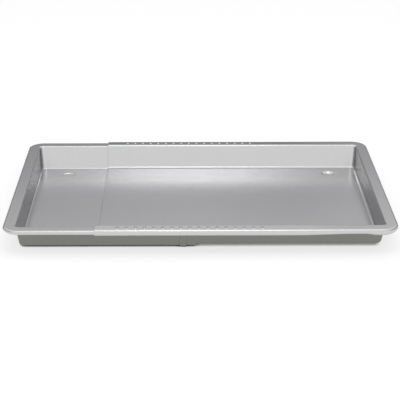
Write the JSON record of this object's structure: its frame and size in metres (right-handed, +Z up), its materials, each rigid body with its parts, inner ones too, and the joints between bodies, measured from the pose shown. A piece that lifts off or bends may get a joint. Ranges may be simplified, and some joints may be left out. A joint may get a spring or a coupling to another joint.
{
  "type": "adjustable baking tray",
  "caption": "Shallow rectangular sheet steel baking tray in two nested halves that slide apart to set its length, with rolled wire rims and pressed length marks.",
  "frame": {"origin": "under the middle of the tray at the length shown in the picture, on the surface that its feet stand on", "axes": "+X along the slide towards the upper tray's closed end, +Y towards the rear long side, +Z up"},
  "size_m": [0.4398, 0.33, 0.0313],
  "materials": {
    "tray_steel": "satin silver-grey sheet steel with a fine sparkling grain",
    "wire_steel": "plain drawn steel wire, satin"
  },
  "bodies": {
    "lower": {"lower_tray": "tray_steel", "lower_rim_wire": "wire_steel"},
    "upper": {"upper_tray": "tray_steel", "upper_rim_wire": "wire_steel"}
  },
  "joints": [
    {"name": "length_slide", "type": "slide", "parent": "lower", "child": "upper", "axis": [1, 0, 0], "range_m": [-0.07, 0.08]}
  ]
}
